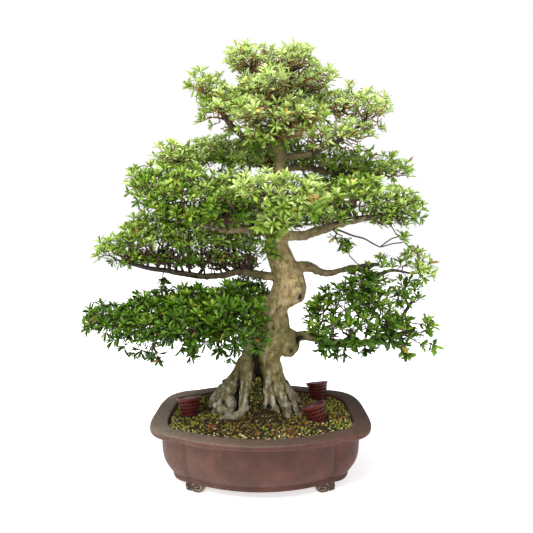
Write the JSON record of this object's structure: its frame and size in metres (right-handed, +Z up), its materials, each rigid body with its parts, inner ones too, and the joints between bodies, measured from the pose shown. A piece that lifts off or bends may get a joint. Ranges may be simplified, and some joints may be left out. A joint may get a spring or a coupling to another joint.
{
  "type": "azalea bonsai",
  "caption": "Informal upright azalea bonsai with flared roots, twisting trunk and layered foliage pads, in a lobed brown stoneware pot on scroll feet, with lidded net fertiliser baskets.",
  "frame": {"origin": "on the ground under the pot's feet, at the middle of the whole tree's floor plan", "axes": "+Z up; the tree's front faces -Y; +X to the right seen from the front, along the pot's length"},
  "size_m": [0.7141, 0.33, 0.86],
  "materials": {
    "stoneware": "satin",
    "soil": "matte",
    "bark": "matte",
    "leaf": "satin",
    "basket": "satin",
    "lid": "gloss",
    "fertiliser": "matte",
    "mesh": "matte"
  },
  "bodies": {
    "root": {"pot": "stoneware", "soil": "soil", "trunk_and_branches": "bark", "foliage_left_low": "leaf", "foliage_left_second": "leaf", "foliage_left_third": "leaf", "foliage_left_upper": "leaf", "foliage_front_middle": "leaf", "foliage_right_third": "leaf", "foliage_right_upper": "leaf", "foliage_right_second": "leaf", "foliage_right_low": "leaf", "foliage_crown_left": "leaf", "foliage_crown_top": "leaf", "foliage_crown_front": "leaf", "foliage_crown_right": "leaf", "foliage_crown_back": "leaf", "foliage_back_low": "leaf", "foliage_back_middle": "leaf", "foliage_back_right": "leaf", "foliage_back_upper": "leaf", "basket_cup_front_left": "basket", "basket_cup_front_right": "basket", "basket_cup_back_right": "basket", "basket_cup_back_left": "basket", "basket_lid_front_left": "lid", "basket_lid_front_right": "lid", "basket_lid_back_right": "lid", "basket_lid_back_left": "lid", "fertiliser_front_left": "fertiliser", "fertiliser_front_right": "fertiliser", "fertiliser_back_right": "fertiliser", "fertiliser_back_left": "fertiliser", "drain_mesh_left": "mesh", "drain_mesh_right": "mesh"}
  },
  "joints": []
}
